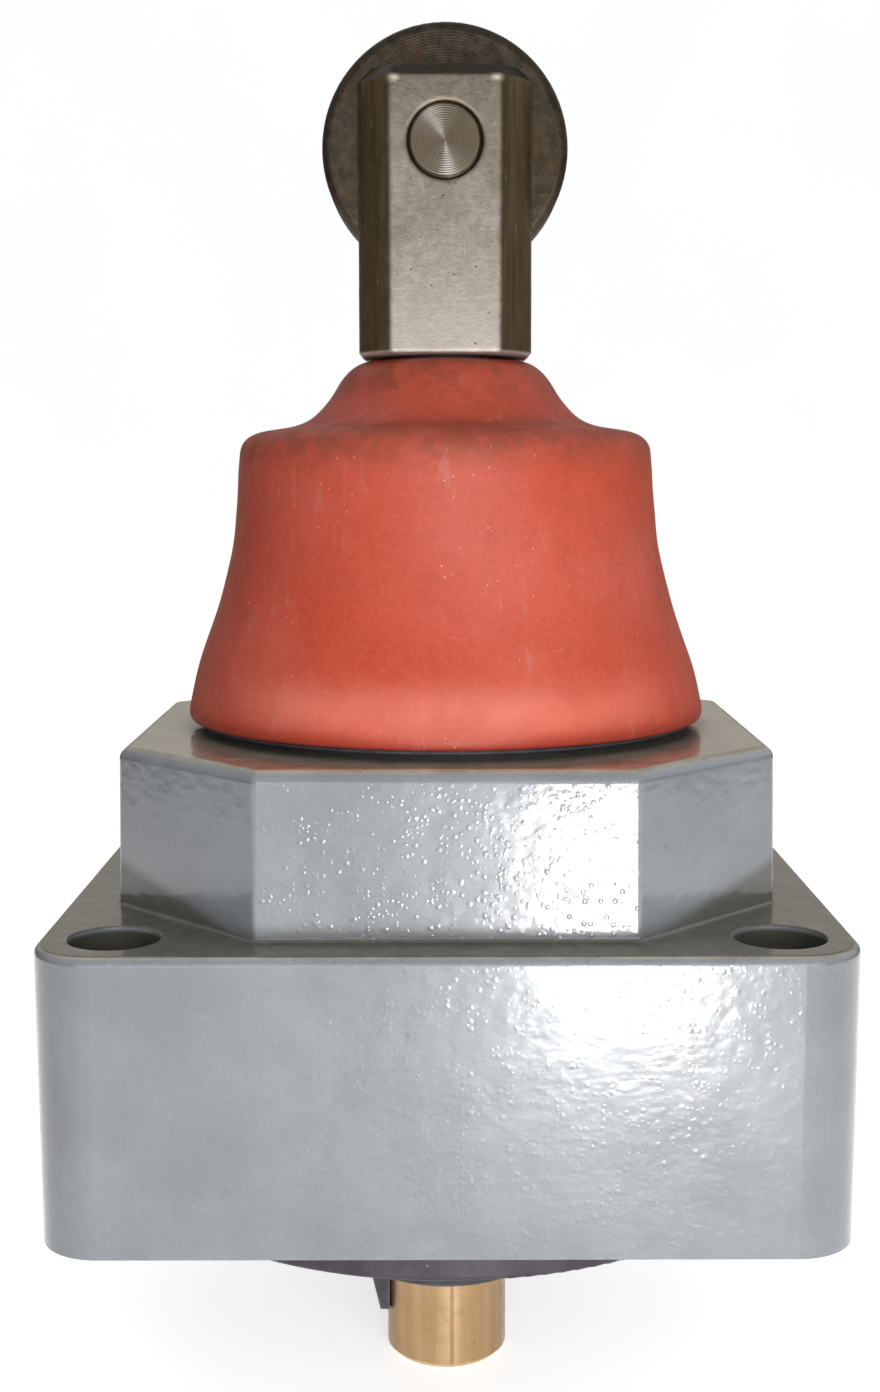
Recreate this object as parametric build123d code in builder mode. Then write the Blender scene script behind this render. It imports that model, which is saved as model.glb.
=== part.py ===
from build123d import *
import os

# Operating head of a limit switch: a forked plunger with a roller, sealed by a rubber boot, slides in a
# four-hole die-cast body and moves a brass pusher that sticks out below.
# Millimetres. Z = 0 is the mounting face, +Z points to the roller, and the roller turns about Y.

# ---- body ----
flange_width = 40.0
flange_height = 14.85
flange_corner_r = 3.2
flange_draft = 0.28
flange_edge_r = 0.45
rim_band = 1.5
tiny = 0.01
boss_width = 34.1
boss_top = 23.2
boss_corner_cut = 7.75
boss_draft = 0.94
boss_foot_r = 0.2
boss_rim_r = 0.65
boss_upright_r = 0.4
fixing_pitch = 32.5
fixing_hole_r = 2.25
fixing_mouth_r = 0.12
cavity_r = 13.0
cavity_roof = 20.0
hub_r = 8.0
hub_face = 15.0
tower_r = 7.5
tower_top = 31.8
cover_recess_r = 18.45
cover_recess_depth = 2.0

# ---- plunger and its guide ----
stem_r = 3.5
stem_end = 9.0
stem_chamfer = 0.3
stem_bore_r = 2.3
stem_bore_top = 27.0
neck_groove_r = 3.1
neck_groove_bottom = 41.95
fork_r = 5.1
fork_bottom = 43.6
fork_top = 58.8
fork_top_chamfer = 0.7
fork_bottom_chamfer = 0.2
fork_depth = 8.4
fork_width = 9.4
fork_slot_width = 4.0
fork_slot_bottom = 47.4
bush_outer_r = 5.5
bush_bore_r = 3.53
bush_bottom = 14.5
bush_top = 29.6
bush_chamfer = 0.2
wiper_lip_r = 3.56
wiper_top = 31.6
wiper_lip_depth = 0.4
wiper_relief = 0.5

# ---- roller ----
roller_centre = 54.74
roller_r = 6.67
roller_width = 3.6
roller_edge_r = 0.5
roller_pin_r = 1.96
roller_pin_half = 4.25
roller_pin_chamfer = 0.15
pin_hole_r = 2.0
pin_hole_chamfer = 0.12
roller_bush_r = 3.2
roller_bush_bore_r = 2.01
thrust_washer_r = 4.2
thrust_washer_inner = 1.86

# ---- boot and its retainer ----
boot_bottom = 23.87
boot_wall = 1.2
boot_foot_r = 14.4
boot_skirt_r = 13.98
boot_skirt_bottom = 23.72
boot_flank = [(14.48, 24.15), (13.86, 27.0), (12.74, 30.0), (11.99, 33.0), (11.6, 37.8)]
boot_shoulder_turn = (11.3, 39.1)
boot_shoulder = (10.6, 39.5)
boot_neck_foot = (7.55, 40.4)
boot_neck_top = (5.75, 42.5)
boot_rim_turn = (5.25, 43.1)
boot_rim_r = 4.5
boot_top = 43.45
boot_neck_seat = 42.0
boot_inner_neck_top = (3.95, boot_neck_seat)
boot_inner_neck_foot = (6.75, 39.2)
boot_inner_shoulder = (9.7, 38.3)
boot_inner_flank_top = (10.4, 37.6)
boot_inner_foot = (12.98, 25.5)
bead_chamfer = 0.2
bead_r = 12.02
bead_top = 25.3
retainer_inner_r = 7.6
retainer_bottom = 23.5
retainer_lip_r = 13.9
retainer_lip_top = 23.85
retainer_groove_r = 12.0
retainer_groove_top = 25.4
retainer_top_r = 12.5
retainer_top = 26.4
retainer_chamfer = 0.4
gasket_inner_r = 7.8
gasket_outer_r = 13.6

# ---- carrier, guide pin and return spring ----
carrier_top = 14.15
carrier_flange_r = 8.6
carrier_flange_height = 1.5
carrier_sleeve_r = 6.2
carrier_sleeve_bottom = 9.4
carrier_bore_r = 3.52
carrier_pin_z = 11.1
carrier_pin_r = 0.75
carrier_pin_half = 6.0
carrier_pin_chamfer = 0.1
guide_pin_y = 10.6
guide_pin_r = 1.0
guide_pin_bottom = 6.5
guide_pin_top = 22.4
guide_pin_play = 0.05
guide_pin_chamfer = 0.25
ear_r = 2.0
stop_washer_bottom = 14.2
stop_washer_r = 7.9
spring_mean_r = 7.65
spring_wire_r = 0.55
spring_turns = 4.25
spring_end_gap = 0.06
spring_seat_top = 2.0
spring_seat_inner_r = 6.95
spring_seat_outer_r = 8.6

# ---- pusher and overtravel spring ----
overtravel = 3.0
pusher_r = 3.5
pusher_bottom = -14.3
pusher_edge = 0.35
pusher_shoulder = 5.5
pusher_shank_r = 2.25
pusher_shank_top = 17.0
pusher_slot_width = 1.7
pusher_slot_top_gap = 0.05
pusher_slot_end_gap = 0.2
overtravel_spring_mean_r = 1.8
overtravel_wire_r = 0.3
overtravel_turns = 8.5

# ---- bottom cover ----
cover_r = 18.36
cover_bottom = -1.92
cover_top = 1.6
cover_edge_r = 0.3
cover_hub_r = 6.9
cover_hub_top = 3.0
nose_r = 5.4
nose_bottom = -8.3
nose_bore_r = 3.56
finger_bottom = -11.7
finger_root_r = 4.7
finger_tip_r = 3.9
finger_width = 2.4
finger_root_overlap = 1.0
seal_groove_r = 4.95
seal_groove_bottom = -2.5
seal_groove_top = -0.9
seal_mean_r = 4.24
seal_wire_r = 0.68

# ---- screws ----
retainer_screw_circle_r = 10.1
retainer_screw_angle = 30
retainer_screw_r = 0.97
retainer_screw_head_r = 1.9
retainer_screw_bottom = 20.7
retainer_thread_depth = 2.8
cover_screw_circle_r = 15.3
cover_screw_angle = 45
cover_screw_r = 1.22
cover_screw_head_r = 2.35
cover_screw_top = 7.0
cover_thread_top = 8.0
thread_gap = 0.03
clearance_gap = 0.18
head_seat_gap = 0.08
socket_depth = 0.7
socket_share = 0.7
overlap = 0.5
cut_past = 1.0


def ring_face(outer_r, inner_r):
    """A flat ring in the current sketch."""
    Circle(outer_r)
    Circle(inner_r, mode=Mode.SUBTRACT)


def countersunk_outline(head_z, tip_z, head_r, shank_r):
    """Half outline of a 90 degree countersunk screw, from its head face to its tip."""
    inward = 1 if tip_z > head_z else -1
    cone_end = head_z + inward * (head_r - shank_r)
    return [(0, head_z), (head_r, head_z), (shank_r, cone_end), (shank_r, tip_z), (0, tip_z)]


def keep(piece, name):
    """Labels a finished piece and writes it as its own file."""
    piece.part.label = name
    export_step(piece.part, f"parts/{name}.step")


os.makedirs("parts", exist_ok=True)

fixing_holes = GridLocations(fixing_pitch, fixing_pitch, 2, 2)
retainer_screws_at = PolarLocations(retainer_screw_circle_r, 3, start_angle=retainer_screw_angle)
cover_screws_at = PolarLocations(cover_screw_circle_r, 4, start_angle=cover_screw_angle)

# Body: a drafted square flange with an octagonal boss, hollow from below, with a long guide tower.
with BuildPart() as housing:
    with BuildSketch(Plane.XY.offset(flange_height)):
        RectangleRounded(flange_width, flange_width, flange_corner_r)
    extrude(amount=flange_height, dir=(0, 0, -1), taper=flange_draft)
    with BuildSketch(Plane.XY.offset(boss_top)) as octagon:
        Rectangle(boss_width, boss_width)
        chamfer(octagon.vertices(), boss_corner_cut)
    extrude(amount=boss_top - flange_height, dir=(0, 0, -1), taper=-boss_draft)
    fillet(housing.edges().group_by(Axis.Z)[-1], boss_rim_r)
    boss_middle = (flange_height + boss_top) / 2
    boss_uprights = housing.edges().filter_by(
        lambda e: abs(e.center().Z - boss_middle) < boss_rim_r and e.length > (boss_top - flange_height) / 2
    )
    fillet(boss_uprights, boss_upright_r)
    step_edges = housing.edges().filter_by_position(Axis.Z, flange_height - tiny, flange_height + tiny)
    boss_foot = step_edges.filter_by(
        lambda e: max(abs(e.center().X), abs(e.center().Y)) < flange_width / 2 - rim_band
    )
    fillet(boss_foot, boss_foot_r)
    step_edges = housing.edges().filter_by_position(Axis.Z, flange_height - tiny, flange_height + tiny)
    flange_rim = step_edges.filter_by(
        lambda e: max(abs((e @ 0.5).X), abs((e @ 0.5).Y)) > flange_width / 2 - rim_band
    )
    fillet(flange_rim, flange_edge_r)
    with BuildSketch(Plane.XY):
        Circle(cavity_r)
    extrude(amount=cavity_roof, mode=Mode.SUBTRACT)
    with BuildSketch(Plane.XY):
        Circle(cover_recess_r)
    extrude(amount=cover_recess_depth, mode=Mode.SUBTRACT)
    with BuildSketch(Plane.XY.offset(hub_face)):
        Circle(hub_r)
    extrude(amount=cavity_roof - hub_face + overlap)
    with BuildSketch(Plane.XY.offset(boss_top - overlap)):
        Circle(tower_r)
    extrude(amount=tower_top - boss_top + overlap)
    with BuildSketch(Plane.XY.offset(hub_face)):
        Circle(bush_outer_r)
    extrude(amount=tower_top - hub_face, mode=Mode.SUBTRACT)
    with BuildSketch(Plane.XY.offset(guide_pin_top)):
        with Locations((0, guide_pin_y)):
            Circle(guide_pin_r)
    extrude(amount=guide_pin_top - cavity_roof, dir=(0, 0, -1), mode=Mode.SUBTRACT)
    with BuildSketch(Plane.XY.offset(boss_top - retainer_thread_depth)):
        with retainer_screws_at:
            Circle(retainer_screw_r + thread_gap)
    extrude(amount=retainer_thread_depth, mode=Mode.SUBTRACT)
    with BuildSketch(Plane.XY):
        with cover_screws_at:
            Circle(cover_screw_r + thread_gap)
    extrude(amount=cover_thread_top, mode=Mode.SUBTRACT)
    with BuildSketch(Plane.XY):
        with fixing_holes:
            Circle(fixing_hole_r)
    extrude(amount=flange_height, mode=Mode.SUBTRACT)
    mouths = housing.edges().filter_by(GeomType.CIRCLE).filter_by(
        lambda e: abs(e.radius - fixing_hole_r) < tiny and e.center().Z > flange_height / 2
    )
    fillet(mouths, fixing_mouth_r)
keep(housing, "housing")

# Bronze bush pressed into the body, from just below the hub to under the wiper.
with BuildPart() as guide_bush:
    with BuildSketch(Plane.XY.offset(bush_bottom)):
        ring_face(bush_outer_r, bush_bore_r)
    extrude(amount=bush_top - bush_bottom)
    chamfer(guide_bush.edges().filter_by(GeomType.CIRCLE), bush_chamfer)
keep(guide_bush, "guide_bush")

# Rubber wiper above the bush, with two lips towards the stem.
with BuildPart() as stem_wiper:
    with BuildSketch(Plane.XZ):
        with BuildLine():
            Polyline(
                (bush_outer_r, bush_top),
                (bush_outer_r, wiper_top),
                (wiper_lip_r + wiper_relief, wiper_top),
                (wiper_lip_r, wiper_top - wiper_lip_depth),
                (wiper_lip_r + wiper_relief, (bush_top + wiper_top) / 2),
                (wiper_lip_r, bush_top + wiper_lip_depth),
                (wiper_lip_r + wiper_relief, bush_top),
                close=True,
            )
        make_face()
    revolve(axis=Axis.Z)
keep(stem_wiper, "stem_wiper")

# Thin gasket between the boss and the boot retainer.
with BuildPart() as seat_gasket:
    with BuildSketch(Plane.XY.offset(boss_top)):
        ring_face(gasket_outer_r, gasket_inner_r)
        with retainer_screws_at:
            Circle(retainer_screw_r + clearance_gap, mode=Mode.SUBTRACT)
    extrude(amount=retainer_bottom - boss_top)
keep(seat_gasket, "seat_gasket")

# Grooved ring that the boot's bead snaps over, with three countersunk holes.
with BuildPart() as boot_retainer:
    with BuildSketch(Plane.XZ):
        with BuildLine():
            Polyline(
                (retainer_inner_r, retainer_bottom),
                (retainer_lip_r, retainer_bottom),
                (retainer_lip_r, retainer_lip_top),
                (retainer_groove_r, retainer_lip_top),
                (retainer_groove_r, retainer_groove_top),
                (retainer_top_r, retainer_groove_top),
                (retainer_top_r, retainer_top - retainer_chamfer),
                (retainer_top_r - retainer_chamfer, retainer_top),
                (retainer_inner_r, retainer_top),
                close=True,
            )
        make_face()
    revolve(axis=Axis.Z)
    with Locations(Plane.XY.offset(retainer_top)):
        with retainer_screws_at:
            CounterSinkHole(
                radius=retainer_screw_r + clearance_gap,
                counter_sink_radius=retainer_screw_head_r + head_seat_gap,
                counter_sink_angle=90,
            )
keep(boot_retainer, "boot_retainer")

# One retainer screw, turned about Z, then copied to the three holes.
with BuildPart() as retainer_screw:
    with BuildSketch(Plane.XZ):
        with BuildLine():
            Polyline(
                *countersunk_outline(
                    retainer_top, retainer_screw_bottom, retainer_screw_head_r, retainer_screw_r
                ),
                close=True,
            )
        make_face()
    revolve(axis=Axis.Z)
    with BuildSketch(Plane.XY.offset(retainer_top)):
        RegularPolygon(retainer_screw_r * socket_share, 6)
    extrude(amount=-socket_depth, mode=Mode.SUBTRACT)
with BuildPart() as retainer_screws:
    with retainer_screws_at:
        add(retainer_screw.part)
keep(retainer_screws, "retainer_screws")

# Boot: a bell with a rounded shoulder and a tapered neck, and an inward bead at its foot.
with BuildPart() as boot:
    with BuildSketch(Plane.XZ):
        with BuildLine():
            inner_flank = [(r - boot_wall, z) for r, z in boot_flank[1:-1]]
            Line((bead_r, boot_bottom), (boot_skirt_r, boot_bottom))
            Line((boot_skirt_r, boot_bottom), (boot_skirt_r, boot_skirt_bottom))
            Line((boot_skirt_r, boot_skirt_bottom), (boot_foot_r, boot_skirt_bottom))
            Line((boot_foot_r, boot_skirt_bottom), boot_flank[0])
            Spline(*boot_flank)
            ThreePointArc(boot_flank[-1], boot_shoulder_turn, boot_shoulder)
            Line(boot_shoulder, boot_neck_foot)
            Line(boot_neck_foot, boot_neck_top)
            ThreePointArc(boot_neck_top, boot_rim_turn, (boot_rim_r, boot_top))
            Line((boot_rim_r, boot_top), (neck_groove_r, boot_top))
            Line((neck_groove_r, boot_top), (neck_groove_r, boot_neck_seat))
            Line((neck_groove_r, boot_neck_seat), boot_inner_neck_top)
            Line(boot_inner_neck_top, boot_inner_neck_foot)
            Line(boot_inner_neck_foot, boot_inner_shoulder)
            Line(boot_inner_shoulder, boot_inner_flank_top)
            Spline(boot_inner_flank_top, *reversed(inner_flank), boot_inner_foot)
            Line(boot_inner_foot, (bead_r + bead_chamfer, bead_top))
            Line((bead_r + bead_chamfer, bead_top), (bead_r, bead_top - bead_chamfer))
            Line((bead_r, bead_top - bead_chamfer), (bead_r, boot_bottom))
        make_face()
    revolve(axis=Axis.Z)
keep(boot, "boot")

# Plunger: a fork milled from round bar, with four flats, on a bored stem with a groove for the boot's neck.
with BuildPart() as plunger:
    with BuildSketch(Plane.XZ):
        with BuildLine():
            Polyline(
                (0, stem_bore_top),
                (stem_bore_r, stem_bore_top),
                (stem_bore_r, stem_end),
                (stem_r - stem_chamfer, stem_end),
                (stem_r, stem_end + stem_chamfer),
                (stem_r, neck_groove_bottom),
                (neck_groove_r, neck_groove_bottom),
                (neck_groove_r, fork_bottom),
                (0, fork_bottom),
                close=True,
            )
        make_face()
    revolve(axis=Axis.Z)
    body_bottom = fork_bottom + fork_bottom_chamfer
    body_top = fork_top - fork_top_chamfer
    with BuildSketch(Plane.XY.offset(body_bottom)) as fork_section:
        Circle(fork_r)
        Rectangle(fork_width, fork_depth, mode=Mode.INTERSECT)
    extrude(amount=body_top - body_bottom)
    extrude(fork_section.sketch, amount=fork_bottom_chamfer, dir=(0, 0, -1), taper=45)
    with BuildSketch(Plane.XY.offset(body_top)):
        Circle(fork_r)
        Rectangle(fork_width, fork_depth, mode=Mode.INTERSECT)
    extrude(amount=fork_top_chamfer, taper=45)
    with BuildSketch(Plane.XY.offset(fork_slot_bottom)):
        Rectangle(4 * fork_r, fork_slot_width)
    extrude(amount=fork_top - fork_slot_bottom, mode=Mode.SUBTRACT)
    with BuildSketch(Plane.XZ):
        with Locations((0, roller_centre)):
            Circle(pin_hole_r)
    extrude(amount=fork_depth, both=True, mode=Mode.SUBTRACT)
    pin_hole_mouths = plunger.edges().filter_by(GeomType.CIRCLE).filter_by(
        lambda e: abs(e.radius - pin_hole_r) < tiny and abs(abs(e.center().Y) - fork_depth / 2) < tiny
    )
    chamfer(pin_hole_mouths, pin_hole_chamfer)
    with BuildSketch(Plane.YZ):
        with Locations((0, carrier_pin_z)):
            Circle(carrier_pin_r)
    extrude(amount=stem_r + cut_past, both=True, mode=Mode.SUBTRACT)
keep(plunger, "plunger")

# Roller axle with slightly rounded ends.
with BuildPart() as roller_pin:
    with BuildSketch(Plane.XZ.offset(-roller_pin_half)):
        with Locations((0, roller_centre)):
            Circle(roller_pin_r)
    extrude(amount=2 * roller_pin_half)
    chamfer(roller_pin.edges().filter_by(GeomType.CIRCLE), roller_pin_chamfer)
keep(roller_pin, "roller_pin")

# Two thin washers, each against one ear of the fork.
with BuildPart() as thrust_washers:
    for side in (1, -1):
        with BuildSketch(Plane.XZ.offset(side * thrust_washer_inner)):
            with Locations((0, roller_centre)):
                ring_face(thrust_washer_r, pin_hole_r)
        extrude(amount=side * (fork_slot_width / 2 - thrust_washer_inner))
keep(thrust_washers, "thrust_washers")

# Steel roller, bored for its bearing, with rounded rims.
with BuildPart() as roller:
    with BuildSketch(Plane.XZ.offset(-roller_width / 2)):
        with Locations((0, roller_centre)):
            ring_face(roller_r, roller_bush_r)
    extrude(amount=roller_width)
    rims = roller.edges().filter_by(GeomType.CIRCLE).filter_by(lambda e: e.radius > roller_r - 0.1)
    fillet(rims, roller_edge_r)
keep(roller, "roller")

# Bearing bush of the roller.
with BuildPart() as roller_bush:
    with BuildSketch(Plane.XZ.offset(-roller_width / 2)):
        with Locations((0, roller_centre)):
            ring_face(roller_bush_r, roller_bush_bore_r)
    extrude(amount=roller_width)
keep(roller_bush, "roller_bush")

# Spring carrier: a flanged sleeve on the stem, with an ear that runs on the guide pin.
with BuildPart() as spring_carrier:
    with BuildSketch(Plane.XY.offset(carrier_sleeve_bottom)):
        Circle(carrier_sleeve_r)
    extrude(amount=carrier_top - carrier_sleeve_bottom)
    with BuildSketch(Plane.XY.offset(carrier_top - carrier_flange_height)):
        Circle(carrier_flange_r)
        with Locations((0, guide_pin_y)):
            Circle(ear_r)
        with Locations((0, guide_pin_y / 2)):
            Rectangle(2 * ear_r, guide_pin_y)
        with Locations((0, guide_pin_y)):
            Circle(guide_pin_r + guide_pin_play, mode=Mode.SUBTRACT)
    extrude(amount=carrier_flange_height)
    with BuildSketch(Plane.XY.offset(carrier_sleeve_bottom)):
        Circle(carrier_bore_r)
    extrude(amount=carrier_top - carrier_sleeve_bottom, mode=Mode.SUBTRACT)
    with BuildSketch(Plane.YZ):
        with Locations((0, carrier_pin_z)):
            Circle(carrier_pin_r)
    extrude(amount=carrier_sleeve_r + cut_past, both=True, mode=Mode.SUBTRACT)
keep(spring_carrier, "spring_carrier")

# Cross pin through carrier and stem. The pusher's slot slides over it.
with BuildPart() as carrier_pin:
    with BuildSketch(Plane.YZ.offset(-carrier_pin_half)):
        with Locations((0, carrier_pin_z)):
            Circle(carrier_pin_r)
    extrude(amount=2 * carrier_pin_half)
    chamfer(carrier_pin.edges().filter_by(GeomType.CIRCLE), carrier_pin_chamfer)
keep(carrier_pin, "carrier_pin")

# Dowel in the cavity roof that stops the plunger from turning.
with BuildPart() as guide_pin:
    with BuildSketch(Plane.XY.offset(guide_pin_bottom)):
        with Locations((0, guide_pin_y)):
            Circle(guide_pin_r)
    extrude(amount=guide_pin_top - guide_pin_bottom)
    chamfer(guide_pin.edges().group_by(Axis.Z)[0], guide_pin_chamfer)
keep(guide_pin, "guide_pin")

# Polymer washer round the bush's lower end: the upper stop of the stroke.
with BuildPart() as stop_washer:
    with BuildSketch(Plane.XY.offset(stop_washer_bottom)):
        ring_face(stop_washer_r, bush_outer_r)
    extrude(amount=hub_face - stop_washer_bottom)
keep(stop_washer, "stop_washer")

# Return spring, between its seat and the carrier's flange.
spring_top = carrier_top - carrier_flange_height
with BuildPart() as return_spring:
    rise = spring_top - spring_seat_top - 2 * spring_wire_r - spring_end_gap
    with BuildLine(Plane.XY.offset(spring_seat_top + spring_wire_r + spring_end_gap / 2)) as return_path:
        Helix(pitch=rise / spring_turns, height=rise, radius=spring_mean_r)
    with BuildSketch(Plane(origin=return_path.line @ 0, z_dir=return_path.line % 0)):
        Circle(spring_wire_r)
    sweep(path=return_path.line, is_frenet=True)
keep(return_spring, "return_spring")

# Steel washer that the return spring stands on.
with BuildPart() as spring_seat:
    with BuildSketch(Plane.XY.offset(cover_top)):
        ring_face(spring_seat_outer_r, spring_seat_inner_r)
    extrude(amount=spring_seat_top - cover_top)
keep(spring_seat, "spring_seat")

# Overtravel spring in the stem's bore, on top of the pusher's shank.
with BuildPart() as overtravel_spring:
    rise = stem_bore_top - pusher_shank_top - 2 * overtravel_wire_r - spring_end_gap
    with BuildLine(
        Plane.XY.offset(pusher_shank_top + overtravel_wire_r + spring_end_gap / 2)
    ) as overtravel_path:
        Helix(pitch=rise / overtravel_turns, height=rise, radius=overtravel_spring_mean_r)
    with BuildSketch(Plane(origin=overtravel_path.line @ 0, z_dir=overtravel_path.line % 0)):
        Circle(overtravel_wire_r)
    sweep(path=overtravel_path.line, is_frenet=True)
keep(overtravel_spring, "overtravel_spring")

# Brass pusher: a plain rod below, and a slotted shank that runs in the stem's bore.
slot_bottom = carrier_pin_z - carrier_pin_r - overtravel - pusher_slot_end_gap
slot_top = carrier_pin_z + pusher_slot_width / 2 + pusher_slot_top_gap
with BuildPart() as pusher:
    with BuildSketch(Plane.XY.offset(pusher_bottom)):
        Circle(pusher_r)
    extrude(amount=pusher_shoulder - pusher_bottom)
    with BuildSketch(Plane.XY.offset(pusher_shoulder)):
        Circle(pusher_shank_r)
    extrude(amount=pusher_shank_top - pusher_shoulder)
    chamfer(pusher.edges().group_by(Axis.Z)[0], pusher_edge)
    with BuildSketch(Plane.YZ):
        with Locations((0, (slot_bottom + slot_top) / 2)):
            SlotOverall(slot_top - slot_bottom, pusher_slot_width, rotation=90)
    extrude(amount=pusher_shank_r + cut_past, both=True, mode=Mode.SUBTRACT)
keep(pusher, "pusher")

# Bottom cover: a disc that closes the body and registers in the switch, with a nose and a tapered finger.
with BuildPart() as bottom_cover:
    with BuildSketch(Plane.XY.offset(cover_bottom)):
        Circle(cover_r)
    extrude(amount=cover_top - cover_bottom)
    fillet(bottom_cover.edges().group_by(Axis.Z)[0], cover_edge_r)
    with BuildSketch(Plane.XY.offset(cover_bottom)):
        Circle(cover_hub_r)
    extrude(amount=cover_hub_top - cover_bottom)
    with BuildSketch(Plane.XY.offset(nose_bottom)):
        Circle(nose_r)
    extrude(amount=cover_bottom - nose_bottom)
    with BuildSketch(Plane.XZ):
        with BuildLine():
            Polyline(
                (-finger_root_r, nose_bottom + finger_root_overlap),
                (-finger_root_r, nose_bottom),
                (-finger_tip_r, finger_bottom),
                (-nose_bore_r / 2, finger_bottom),
                (-nose_bore_r / 2, nose_bottom + finger_root_overlap),
                close=True,
            )
        make_face()
    extrude(amount=finger_width / 2, both=True)
    with BuildSketch(Plane.XY.offset(finger_bottom)):
        Circle(nose_bore_r)
    extrude(amount=cover_hub_top - finger_bottom, mode=Mode.SUBTRACT)
    with BuildSketch(Plane.XY.offset(seal_groove_bottom)):
        Circle(seal_groove_r)
    extrude(amount=seal_groove_top - seal_groove_bottom, mode=Mode.SUBTRACT)
    with Locations(Location((0, 0, cover_bottom), (180, 0, 0))):
        with PolarLocations(cover_screw_circle_r, 4, start_angle=cover_screw_angle):
            CounterSinkHole(
                radius=cover_screw_r + clearance_gap,
                counter_sink_radius=cover_screw_head_r + head_seat_gap,
                counter_sink_angle=90,
            )
keep(bottom_cover, "bottom_cover")

# O-ring in the nose, round the pusher.
with BuildPart() as pusher_seal:
    with BuildSketch(Plane.XZ):
        with Locations((seal_mean_r, (seal_groove_bottom + seal_groove_top) / 2)):
            Circle(seal_wire_r)
    revolve(axis=Axis.Z)
keep(pusher_seal, "pusher_seal")

# Flat gasket between cover and body.
with BuildPart() as cover_gasket:
    with BuildSketch(Plane.XY.offset(cover_top)):
        ring_face(cover_r, cavity_r)
        with cover_screws_at:
            Circle(cover_screw_r + clearance_gap, mode=Mode.SUBTRACT)
    extrude(amount=cover_recess_depth - cover_top)
keep(cover_gasket, "cover_gasket")

# One cover screw, entering from below, then copied to the four holes.
with BuildPart() as cover_screw:
    with BuildSketch(Plane.XZ):
        with BuildLine():
            Polyline(
                *countersunk_outline(cover_bottom, cover_screw_top, cover_screw_head_r, cover_screw_r),
                close=True,
            )
        make_face()
    revolve(axis=Axis.Z)
    with BuildSketch(Plane.XY.offset(cover_bottom)):
        RegularPolygon(cover_screw_r * socket_share, 6)
    extrude(amount=socket_depth, mode=Mode.SUBTRACT)
with BuildPart() as cover_screws:
    with cover_screws_at:
        add(cover_screw.part)
keep(cover_screws, "cover_screws")
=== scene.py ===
import math

import bpy
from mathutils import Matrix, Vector, noise


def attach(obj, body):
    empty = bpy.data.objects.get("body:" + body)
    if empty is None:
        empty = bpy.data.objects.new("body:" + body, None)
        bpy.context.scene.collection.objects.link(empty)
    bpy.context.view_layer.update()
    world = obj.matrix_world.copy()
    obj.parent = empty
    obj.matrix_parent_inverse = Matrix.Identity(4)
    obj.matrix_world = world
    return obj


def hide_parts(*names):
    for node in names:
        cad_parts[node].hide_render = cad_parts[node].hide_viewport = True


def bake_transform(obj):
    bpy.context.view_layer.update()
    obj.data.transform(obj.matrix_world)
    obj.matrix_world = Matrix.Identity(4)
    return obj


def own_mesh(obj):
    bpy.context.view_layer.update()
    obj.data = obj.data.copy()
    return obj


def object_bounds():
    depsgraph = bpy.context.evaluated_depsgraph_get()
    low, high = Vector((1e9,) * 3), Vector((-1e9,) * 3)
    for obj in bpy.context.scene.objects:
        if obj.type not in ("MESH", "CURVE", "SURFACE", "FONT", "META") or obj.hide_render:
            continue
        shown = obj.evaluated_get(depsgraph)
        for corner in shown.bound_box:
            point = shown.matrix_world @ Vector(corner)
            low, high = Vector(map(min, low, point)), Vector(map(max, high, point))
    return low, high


MM = 0.001
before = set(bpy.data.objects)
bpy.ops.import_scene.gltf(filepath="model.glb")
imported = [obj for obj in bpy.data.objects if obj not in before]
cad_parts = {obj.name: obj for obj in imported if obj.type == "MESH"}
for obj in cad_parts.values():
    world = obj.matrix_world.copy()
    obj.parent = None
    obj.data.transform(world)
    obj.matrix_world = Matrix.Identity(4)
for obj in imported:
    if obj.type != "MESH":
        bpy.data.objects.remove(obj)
cad_box = [list(corner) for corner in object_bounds()]

# Places and sizes of the CAD part, in millimetres, that the materials follow.
FLANGE_TOP = 14.85
BOSS_FRONT = 17.05
FIXING_OFFSET = 16.25
FIXING_RADIUS = 2.25
FORK_BOTTOM = 43.6
FORK_TOP = 58.8
FORK_MIDDLE = 50.0
FORK_HALF_DEPTH = 4.2
FORK_HALF_WIDTH = 4.7
ROLLER_CENTRE = 54.74
ROLLER_RADIUS = 6.67
PIN_RADIUS = 1.96
BOOT_HEM = 26.4
BOOT_SHOULDER = 39.1
BOOT_CREASE = 40.1
BOOT_TOP = 43.45


# ---------------------------------------------------------------- material helpers

def srgb(red, green, blue):
    """A screen colour, 0 to 255, as the linear RGBA that shaders take."""
    def linear(value):
        value /= 255
        return value / 12.92 if value <= 0.04045 else ((value + 0.055) / 1.055) ** 2.4
    return (linear(red), linear(green), linear(blue), 1.0)


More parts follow.
